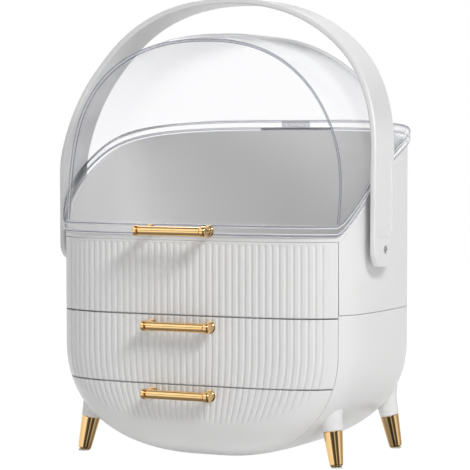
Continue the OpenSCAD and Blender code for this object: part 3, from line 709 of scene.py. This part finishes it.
def lid_sheet(o, band, rise_n=26, roof_n=24):
    """Rows of the lid's surface, o outside its middle skin, from the foot to the roof."""
    f, u, side = lid_columns()
    on_face = u == 0
    foot = rim(foot_pt(f, u, side, -LID_OVER)[1]) + LID_GAP
    rows = []
    r = 0.8 if band else 0.0
    a = np.radians(np.linspace(0, 90, 4))
    steps = [(r * (1 - math.cos(v)), r * (1 - math.sin(v))) for v in a]
    for h, deep in steps + [(BAND_H - h, d) for h, d in steps[::-1]]:
        x, y = foot_pt(f, u, side, o + band - deep)
        rows.append(stack(x, y, foot + h))
    for q in np.linspace(0, 1, rise_n):
        x, z = face_xz(f, q, o)
        y = face_y(x, z, o)
        z0 = foot + FOOT_RISE
        sz = z0 + (LEVEL_Z - z0) * q
        sx, sy = side_pt(sz, o, u)
        rows.append(stack(np.where(on_face, x, side * sx), np.where(on_face, y, sy),
                          np.where(on_face, z, sz)))
    level = rows[-1]
    for g in np.linspace(0, 1, roof_n)[1:-1]:
        g = g ** 1.25
        x = level[:, 0] * (1 - g)
        y = level[:, 1] * (1 - g) + ROOF_MID[1] * g
        rows.append(stack(x, y, roof_z(x, y, o, level[:, 2])))
    return np.array(rows)


def tube(points, r, around=12):
    """Rings of a thin tube along a line of points."""
    p = np.asarray(points, float)
    along = np.gradient(p, axis=0)
    along /= np.linalg.norm(along, axis=1)[:, None]
    side = np.cross(along, (0.0, 1.0, 0.05))
    side /= np.linalg.norm(side, axis=1)[:, None]
    up = np.cross(along, side)
    a = np.linspace(0, 2 * math.pi, around, endpoint=False)
    ring = np.cos(a)[None, :, None] * side[:, None] + np.sin(a)[None, :, None] * up[:, None]
    return p[:, None] + r * ring


BEAD_R = 0.5


def arch_line(o):
    """The line of the lid's front edge, o outside its middle skin, from foot to foot."""
    z = np.linspace(RIM_Z + LID_GAP + FOOT_RISE, LEVEL_Z, 40)
    right = stack(face_x(z, o), face_y(face_x(z, o), z, o), z)
    x, top = over_face(np.linspace(1, -1, 81)[1:-1], o)
    over = stack(x, face_y(x, top, o), top)
    return np.concatenate([right, over, right[::-1] * (-1, 1, 1)])


def foot_line(o, rise):
    """A closed line round the lid's foot, as high as rise above it."""
    f, u, side = lid_columns()
    y = foot_pt(f, u, side, -LID_OVER)[1]
    x, out_y = foot_pt(f, u, side, o)
    return stack(x, out_y, rim(y) + LID_GAP + rise)


def make_lid_edges():
    """Thin beads of painted shade and highlight where the clear wall is seen through its width:
    dark ones on both skins of the front edge and at the band's upper and lower corners, light ones
    beside them."""
    band_o = BAND_OUT - 0.9
    dark_rise = (BEAD_R + 0.2, BAND_H - BEAD_R - 0.2)
    light_rise = (dark_rise[0] + 2.5 * BEAD_R, dark_rise[1] - 2.5 * BEAD_R)
    # Dark beads of painted shade, then light beads of painted highlight.
    edges = (("lid_edge_painted_shade", CLEAR_EDGE_PAINTED_SHADE, (-BEAD_R, -LID_WALL), dark_rise),
             ("lid_edge_glints", CLEAR_GLINT, (-LID_WALL / 2 - BEAD_R / 2,), light_rise))
    for name, material, arches, rises in edges:
        b = Build()
        for o in arches:
            b.grid(tube(arch_line(o), BEAD_R), wrap=True)
        for rise in rises:
            ring = foot_line(band_o, rise)
            b.grid(tube(np.concatenate([ring, ring[:1]]), BEAD_R), wrap=True)
        b.object(name, material, "lid", "clear_plastic")


def make_lid():
    """The clear lid: a front face with a crisp edge, arched sides and a soft rear."""
    top_out = (*ROOF_MID, LID_TOP)
    top_in = (*ROOF_MID, LID_TOP - LID_WALL)
    Build().dome(lid_sheet(0, BAND_OUT), lid_sheet(-LID_WALL, 0), top_out, top_in).object(
        "clear_lid", CLEAR, "lid", "clear_plastic", ["lid"], sharp=24)


# ---- handle ----
HANDLE_R = (handle_high[0] - handle_low[0]) / 2
HANDLE_T = 5.0
RAKE = 25.0
HANDLE_W = handle_high[1] - handle_low[1] - RAKE
HANDLE_Y = handle_low[1] + HANDLE_W / 2 - PLAN_Y
HANDLE_END_Z = handle_low[2]
HANDLE_MID_Z = handle_high[2] - HANDLE_R
PIVOT_Z = (pin_high[2] + pin_low[2]) / 2
PIVOT_Y = (pin_high[1] + pin_low[1]) / 2 - PLAN_Y
ARM_END_R = 14.0
RAKE_Z = (PIVOT_Z + 73, handle_high[2] - 53)
ARCH_N = 2.2
RECESS = 1.0
RECESS_HALF = 17.0
RECESS_LOW = PIVOT_Z + 11
RECESS_TOP = PIVOT_Z + 77
RECESS_R = 10.0


def recess_depth(y, z):
    """Depth of the long shallow recess in an arm at (y, z), with soft sides."""
    mid = (RECESS_LOW + RECESS_TOP) / 2
    qy = np.abs(y) - (RECESS_HALF - RECESS_R)
    qz = np.abs(z - mid) - ((RECESS_TOP - RECESS_LOW) / 2 - RECESS_R)
    outside = np.hypot(np.maximum(qy, 0), np.maximum(qz, 0))
    inside = np.minimum(np.maximum(qy, qz), 0)
    away = outside + inside - RECESS_R
    return RECESS * np.clip(-away / 0.4 + 0.5, 0, 1)


def rake_at(z):
    """How far the band has gone back at height z, with softened bends."""
    t = (z - RAKE_Z[0]) / (RAKE_Z[1] - RAKE_Z[0])
    soft = 0.12
    start = np.clip(t + soft, 0, 2 * soft) ** 2 / (4 * soft) + np.maximum(0, t - soft)
    end = np.clip(t - 1 + soft, 0, 2 * soft) ** 2 / (4 * soft) + np.maximum(0, t - 1 - soft)
    return RAKE * (start - end)


def handle_line():
    """Points of the handle's middle line: inner x and z, and the step to the outer face."""
    inner = HANDLE_R - HANDLE_T
    end = HANDLE_END_Z + ARM_END_R * (1 - np.cos(np.radians(np.linspace(0, 90, 14))))
    curve = RECESS_LOW + RECESS_R * (1 - np.cos(np.radians(np.linspace(0, 90, 16))))
    arm = np.concatenate([end, np.linspace(PIVOT_Z + 4, RECESS_LOW - 1, 4), curve,
                          np.linspace(RECESS_LOW + RECESS_R + 3, HANDLE_MID_Z - 1, 8)])
    arm = np.unique(np.round(arm, 3))
    a = np.radians(np.concatenate([np.linspace(0, 6, 14), np.linspace(6, 174, 110)[1:-1],
                                   np.linspace(174, 180, 14)]))
    cx = np.sign(np.cos(a)) * np.abs(np.cos(a)) ** (2 / ARCH_N)
    cz = np.abs(np.sin(a)) ** (2 / ARCH_N)
    line = [(inner, z, HANDLE_T, 0.0) for z in arm]
    line += [(inner * x, HANDLE_MID_Z + inner * z, HANDLE_T * x, HANDLE_T * z)
             for x, z in zip(cx, cz)]
    return line + [(-inner, z, -HANDLE_T, 0.0) for z in arm[::-1]]


def band_section(half):
    """Outline of the band's section: place across it, and height over its inner face."""
    edge = 1.5
    v = np.radians(np.linspace(0, 90, 5))
    step = np.minimum((RECESS_HALF + np.array([-0.2, 0.2])) / (half - edge), [0.97, 0.985])
    flat = np.concatenate([-step[::-1], np.linspace(-0.8, 0.8, 15), step])
    outer = [(-half + edge * (1 - math.cos(w)), HANDLE_T - edge * (1 - math.sin(w))) for w in v]
    plain = [(y * (half - edge), HANDLE_T) for y in flat]
    inner = [(-half + edge * (1 - math.cos(w)), edge * (1 - math.sin(w))) for w in v]
    outer += plain + [(-y, out) for y, out in outer[::-1]]
    inner += [(-y, out) for y, out in inner[::-1]]
    return np.array(outer + inner[::-1])


def make_handle():
    """The carrying handle: a flat band bent over an arch, with rounded edges and arm ends."""
    sections = []
    for x, z, step_x, step_z in handle_line():
        low_part = min(ARM_END_R, max(0.0, ARM_END_R - (z - HANDLE_END_Z)))
        half = HANDLE_W / 2 - ARM_END_R + math.sqrt(ARM_END_R ** 2 - low_part ** 2)
        y, out = band_section(half).T
        out = np.where(out > HANDLE_T - 0.01, out - recess_depth(y, z), out) / HANDLE_T
        height = z + step_z * out
        sections.append(stack(x + step_x * out, y + HANDLE_Y + rake_at(height), height))
    g = np.array(sections)
    rows, across = g.shape[:2]
    b = Build().grid(g, wrap=True, flip=True)
    b.faces.append(list(range(across)))
    b.faces.append([(rows - 1) * across + j for j in range(across)][::-1])
    b.object("carrying_handle", WHITE, "handle", "white_plastic", ["handle"])


def make_pivot_screw(name, side, node):
    """A pan head with a cross recess, on the shaft that the handle turns on."""
    head_r, head_h, shaft_r = 3.1, 1.2, 1.95
    slot_half, slot_reach, slot_deep = 0.42, 1.9, 0.75
    around = 96
    low, high = box_mm(node)
    tip = high[0] if side > 0 else low[0]
    a = np.linspace(0, 2 * math.pi, around, endpoint=False)
    rows = []
    for r in np.concatenate([[head_r, head_r], np.linspace(head_r - 0.1, 0.05, 26)]):
        y, z = r * np.cos(a), r * np.sin(a)
        crown = head_h * math.sqrt(max(0, 1 - (r / head_r) ** 2 * 0.7))
        if len(rows) < 2:
            crown = head_h * 0.4 * len(rows)
        slot = np.minimum(np.abs(y), np.abs(z)) < slot_half
        deep = np.where(slot & (r < slot_reach), slot_deep * (1 - r / 2.4), 0)
        rows.append(stack(tip - side * (head_h - crown + deep), PIVOT_Y + y, PIVOT_Z + z))
    g = np.array(rows)
    b = Build().grid(g, wrap=True, flip=side < 0)
    b.faces.append([(g.shape[0] - 1) * around + j for j in range(around)][:: int(side)])
    b.faces.append(list(range(around))[:: -int(side)])
    length = high[0] - low[0] - head_h
    head = (tip - side * head_h, PIVOT_Y, PIVOT_Z)
    b.lathe([(shaft_r, 0), (shaft_r, length)], head, (-side, 0, 0), 32)
    b.object(name, STEEL, "housing", "steel", [node], sharp=30)


# ---- pulls ----
BAR_R = 4.0
CAP_R = 4.7
CAP_L = 5.0
CAP_ROUND = 2.0
NECK_R = BAR_R - 0.7
POST_X = 28.0
POST_R = 3.4
FOOT_R = 5.2
FOOT_H = 2.4


def bar_profile(half):
    """A bar's outline: plain, a narrow groove near each end, and a rounded cap."""
    neck = half - CAP_L
    right = [(BAR_R, 0), (BAR_R, neck - 1.0), (BAR_R - 0.15, neck - 0.85),
             (NECK_R, neck - 0.75), (NECK_R, neck - 0.1),
             (CAP_R - 0.5, neck), (CAP_R - 0.12, neck + 0.15), (CAP_R, neck + 0.5)]
    for w in np.radians(np.linspace(0, 90, 8)):
        right.append((CAP_R - CAP_ROUND * (1 - math.cos(w)), half - CAP_ROUND * (1 - math.sin(w))))
    right.append((0.02, half))
    return [(p, -s) for p, s in right[:0:-1]] + right


def post_profile(length, foot_length):
    """A post's outline from the bar's middle, with a domed foot against the front."""
    rim_r = POST_R + 0.35
    profile = [(POST_R, 0), (POST_R, length - FOOT_H - 0.2)]
    for w in np.radians(np.linspace(0, 90, 7)):
        profile.append((rim_r + (FOOT_R - rim_r) * (1 - math.cos(w)),
                        length - FOOT_H + FOOT_H * math.sin(w)))
    return profile + [(FOOT_R, foot_length)]


def make_pull(name, node, body, face_y_at):
    """A round bar on two posts with domed feet."""
    low, high = box_mm(node)
    mid_x, z = (low[0] + high[0]) / 2, (low[2] + high[2]) / 2
    y = low[1] - PLAN_Y + CAP_R
    b = Build().lathe(bar_profile((high[0] - low[0]) / 2), (mid_x, y, z), (1, 0, 0))
    for side in (-1, 1):
        post = post_profile(face_y_at - y, high[1] - PLAN_Y - y)
        b.lathe(post, (mid_x + side * POST_X, y, z), (0, 1, 0), 48)
    b.object(name, GOLD, body, "gold_metal", [node])


# ---- legs ----
LEG_TIP = {"front": (124.0, 70.0), "rear": (123.0, 65.0)}
LEG_SPLAY = (0.176, 0.114)
LEG_TIP_R = 5.75
LEG_TOP_R = 8.5
FERRULE_H = 31.0
LEG_TAPER = (LEG_TOP_R - LEG_TIP_R) / FERRULE_H
FLARE = 2.0
FLARE_START = 42.0
FLARE_END = 56.0
PAD_H = 1.25
TIP_ROUND = 2.2


def leg_r(along):
    """Radius of a leg at a distance along its axis."""
    return LEG_TIP_R + LEG_TAPER * along


def make_leg(end, side):
    """One leg: a white cone that flares into the belly, and its gold tip."""
    sx, sy = (-1 if side == "left" else 1), (-1 if end == "front" else 1)
    tip = LEG_TIP[end]
    foot = Vector((sx * tip[0], sy * tip[1], 0))
    axis = Vector((-sx * LEG_SPLAY[0], -sy * LEG_SPLAY[1], 1)).normalized()
    name = f"{end}_{side}"
    top = (box_mm(f"leg_{name}")[1][2] - 0.5) / axis.z
    leg = [(leg_r(FERRULE_H) - 0.7, FERRULE_H + 0.1), (leg_r(FERRULE_H) - 0.15, FERRULE_H + 0.2)]
    for l in np.linspace(FERRULE_H + 0.5, min(top, FLARE_END), 16):
        rise = max(0, (l - FLARE_START) / (FLARE_END - FLARE_START))
        leg.append((leg_r(l) + FLARE * rise ** 2, l))
    Build().lathe(leg, foot, axis, 64).object(
        f"leg_cone_{name}", WHITE, "housing", "white_plastic", [f"leg_{name}"])
    gold = [(0.05, PAD_H)]
    for w in np.radians(np.linspace(0, 90, 9)):
        gold.append((leg_r(2) - TIP_ROUND * (1 - math.sin(w)),
                     PAD_H + TIP_ROUND * (1 - math.cos(w))))
    gold += [(leg_r(l), l) for l in np.linspace(6, FERRULE_H - 0.4, 6)]
    gold.append((leg_r(FERRULE_H) - 0.3, FERRULE_H))
    Build().lathe(gold, foot, axis, 72).object(
        f"gold_tip_{name}", GOLD, "housing", "gold_metal", [f"ferrule_{name}"])


# ---- CAD nodes that stay ----
def paint_cad_nodes():
    """Gives every CAD node that stays its material."""
    finish = {"white_plastic": WHITE_INSIDE, "gold_metal": GOLD, "steel": STEEL,
              "soft_pad": PAD, "clear_plastic": CLEAR}
    slots = {p["node"]: p["material_slot"] for p in frame["record"]["subparts"]}
    for node, obj in frame["nodes"].items():
        obj.data.materials.clear()
        obj.data.materials.append(finish[slots[node]])


# ---- studio ----
def area_light(name, place, target, size, power):
    """A rectangular lamp that looks at its target."""
    data = bpy.data.lights.new(name, "AREA")
    data.shape = "RECTANGLE"
    data.size, data.size_y = size
    data.energy = power
    lamp = bpy.data.objects.new(name, data)
    lamp.location = place
    lamp.rotation_euler = (Vector(target) - Vector(place)).to_track_quat("-Z", "Y").to_euler()
    bpy.context.scene.collection.objects.link(lamp)


def direction(azimuth, elevation):
    """Unit vector from the object: azimuth 0 is the front, 90 its right side."""
    a, e = math.radians(azimuth), math.radians(elevation)
    return Vector((math.sin(a) * math.cos(e), -math.cos(a) * math.cos(e), math.sin(e)))


def seen_ray(tree):
    """Two sockets: 1 for what the camera sees straight or through the clear lid, and 1 for
    glossy rays."""
    path = tree.nodes.new("ShaderNodeLightPath")
    most = tree.nodes.new("ShaderNodeMath")
    most.operation = "MAXIMUM"
    tree.links.new(path.outputs["Is Camera Ray"], most.inputs[0])
    tree.links.new(path.outputs["Is Transmission Ray"], most.inputs[1])
    return most.outputs["Value"], path.outputs["Is Glossy Ray"]


def background(tree, colour, strength):
    shader = tree.nodes.new("ShaderNodeBackground")
    shader.inputs["Color"].default_value = (*colour, 1)
    shader.inputs["Strength"].default_value = strength
    return shader


def mixed(tree, fac, a, b):
    """Shader a where fac is 0, and b where it is 1."""
    mix = tree.nodes.new("ShaderNodeMixShader")
    tree.links.new(fac, mix.inputs["Fac"])
    tree.links.new(a.outputs[0], mix.inputs[1])
    tree.links.new(b.outputs[0], mix.inputs[2])
    return mix


def tone_ramp(tree, tones):
    """A ramp of greys from (place, tone) pairs."""
    ramp = tree.nodes.new("ShaderNodeValToRGB")
    for place, tone in tones[2:]:
        ramp.color_ramp.elements.new(place)
    for element, (place, tone) in zip(ramp.color_ramp.elements, tones):
        element.position = place
        element.color = (tone, tone, tone, 1)
    return ramp


def studio_walls(tree):
    """What polished metal mirrors: bright walls with dark gaps, by azimuth and by height."""
    coords = tree.nodes.new("ShaderNodeTexCoord")
    turn = tree.nodes.new("ShaderNodeTexGradient")
    turn.gradient_type = "RADIAL"
    around = tone_ramp(tree, [(0.0, 0.9), (0.20, 1.15), (0.24, 0.10), (0.33, 0.06), (0.355, 0.8),
                              (0.38, 0.10), (0.46, 0.08), (0.49, 1.1), (0.62, 0.3), (0.75, 1.0)])
    height = tree.nodes.new("ShaderNodeSeparateXYZ")
    half_up = tree.nodes.new("ShaderNodeMapRange")
    half_up.inputs["From Min"].default_value = -1.0
    upward = tone_ramp(tree, [(0.0, 0.22), (0.26, 0.30), (0.36, 1.0), (0.52, 1.0), (0.56, 1.3),
                              (0.59, 0.12), (0.65, 0.12), (0.68, 1.3), (0.88, 1.2), (0.95, 0.08)])
    both = tree.nodes.new("ShaderNodeMix")
    both.data_type = "RGBA"
    both.blend_type = "MULTIPLY"
    both.inputs["Factor"].default_value = 1.0
    walls = background(tree, (1, 1, 1), GLOSS_WORLD)
    tree.links.new(coords.outputs["Generated"], turn.inputs["Vector"])
    tree.links.new(turn.outputs["Color"], around.inputs["Fac"])
    tree.links.new(coords.outputs["Generated"], height.inputs["Vector"])
    tree.links.new(height.outputs["Z"], half_up.inputs["Value"])
    tree.links.new(half_up.outputs["Result"], upward.inputs["Fac"])
    tree.links.new(around.outputs["Color"], both.inputs["A"])
    tree.links.new(upward.outputs["Color"], both.inputs["B"])
    tree.links.new(both.outputs["Result"], walls.inputs["Color"])
    return walls


AMBIENT = 0.29
GLOSS_WORLD = 0.9
KEY_WATTS = 26
BACK_WATTS = 10
KEY_FROM = (56, 38)
BACK_FROM = (205, 42)
LIGHT_AWAY = 2.2
FLOOR_SEEN = 0.96
FLOOR_SHADE = 0.15
FLOOR_GLOW = 0.22


def make_world():
    """A white background for the camera, soft light for the rest, walls for glossy rays."""
    world = bpy.data.worlds.new("studio")
    world.use_nodes = True
    bpy.context.scene.world = world
    tree = world.node_tree
    tree.nodes.clear()
    seen, glossy = seen_ray(tree)
    soft = mixed(tree, glossy, background(tree, (1, 1, 1), AMBIENT), studio_walls(tree))
    whole = mixed(tree, seen, soft, background(tree, (1, 1, 1), 1.0))
    out = tree.nodes.new("ShaderNodeOutputWorld")
    tree.links.new(whole.outputs["Shader"], out.inputs["Surface"])


def make_floor():
    """A floor with its own near white for the camera. It lights the part from below, and
    glossy rays pass through it."""
    reach = 12.0
    mesh = bpy.data.meshes.new("floor")
    corners = [(-reach, -reach, 0), (reach, -reach, 0), (reach, reach, 0), (-reach, reach, 0)]
    mesh.from_pydata(corners, [], [[0, 1, 2, 3]])
    mat, tree, shader = new_material("floor")
    vary_colour(tree, shader, noise(tree, 0.6, 2), (0.92, 0.92, 0.92), (0.90, 0.90, 0.90))
    shader.inputs["Roughness"].default_value = 0.8
    glow = tree.nodes.new("ShaderNodeEmission")
    glow.inputs["Strength"].default_value = FLOOR_SEEN
    shade = tree.nodes.new("ShaderNodeBsdfDiffuse")
    shade.inputs["Color"].default_value = (FLOOR_SHADE, FLOOR_SHADE, FLOOR_SHADE, 1)
    white = tree.nodes.new("ShaderNodeAddShader")
    tree.links.new(glow.outputs["Emission"], white.inputs[0])
    tree.links.new(shade.outputs["BSDF"], white.inputs[1])
    lamp = tree.nodes.new("ShaderNodeEmission")
    lamp.inputs["Strength"].default_value = FLOOR_GLOW
    lit = tree.nodes.new("ShaderNodeAddShader")
    tree.links.new(shader.outputs["BSDF"], lit.inputs[0])
    tree.links.new(lamp.outputs["Emission"], lit.inputs[1])
    seen, glossy = seen_ray(tree)
    unseen = mixed(tree, glossy, lit, tree.nodes.new("ShaderNodeBsdfTransparent"))
    whole = mixed(tree, seen, unseen, white)
    tree.links.new(whole.outputs["Shader"], tree.nodes["Material Output"].inputs["Surface"])
    mesh.materials.append(mat)
    floor = bpy.data.objects.new("floor", mesh)
    bpy.context.scene.collection.objects.link(floor)


def make_studio():
    middle = Vector((0, PLAN_Y * MM, 0.2))
    area_light("key", middle + LIGHT_AWAY * direction(*KEY_FROM), middle, (0.9, 0.4), KEY_WATTS)
    area_light("back", middle + LIGHT_AWAY * direction(*BACK_FROM), middle, (1.2, 0.8), BACK_WATTS)
    make_world()
    make_floor()
    bpy.context.scene.view_settings.view_transform = "Standard"


def make_camera():
    """The camera fitted to the photograph's outline, seams and feet."""
    frame_px = 470.0
    focal_px = 2245.71
    principal = (242.82, 235.69)
    sensor = 36.0
    distance = 2.01753
    seen_from = (26.18, 2.65)
    data = bpy.data.cameras.new("camera")
    data.sensor_width = sensor
    data.lens = focal_px / frame_px * sensor
    data.shift_x = (frame_px / 2 - principal[0]) / frame_px
    data.shift_y = (principal[1] - frame_px / 2) / frame_px
    camera = bpy.data.objects.new("camera", data)
    target = Vector((0.45, PLAN_Y, 192.33)) * MM
    away = direction(*seen_from)
    camera.location = target + distance * away
    camera.rotation_mode = "QUATERNION"
    camera.rotation_quaternion = (-away).to_track_quat("-Z", "Y")
    bpy.context.scene.collection.objects.link(camera)
    bpy.context.scene.camera = camera


make_camera()
make_studio()
paint_cad_nodes()
make_front_panel()
make_drawer_1_front()
make_drawer_2_front()
make_lower_shell()
make_upper_shell()
make_lid()
make_lid_edges()
make_handle()
make_pivot_screw("pivot_screw_left", -1, "pivot_pin_left")
make_pivot_screw("pivot_screw_right", 1, "pivot_pin_right")
make_pull("pull_upper", "drawer_1_pull", "drawer_1", -HALF_D)
make_pull("pull_lower", "drawer_2_pull", "drawer_2", -HALF_D)
make_pull("pull_lid", "lid_pull", "lid", -HALF_D - LID_OVER - BAND_OUT)
for leg_end in ("front", "rear"):
    for leg_side in ("left", "right"):
        make_leg(leg_end, leg_side)
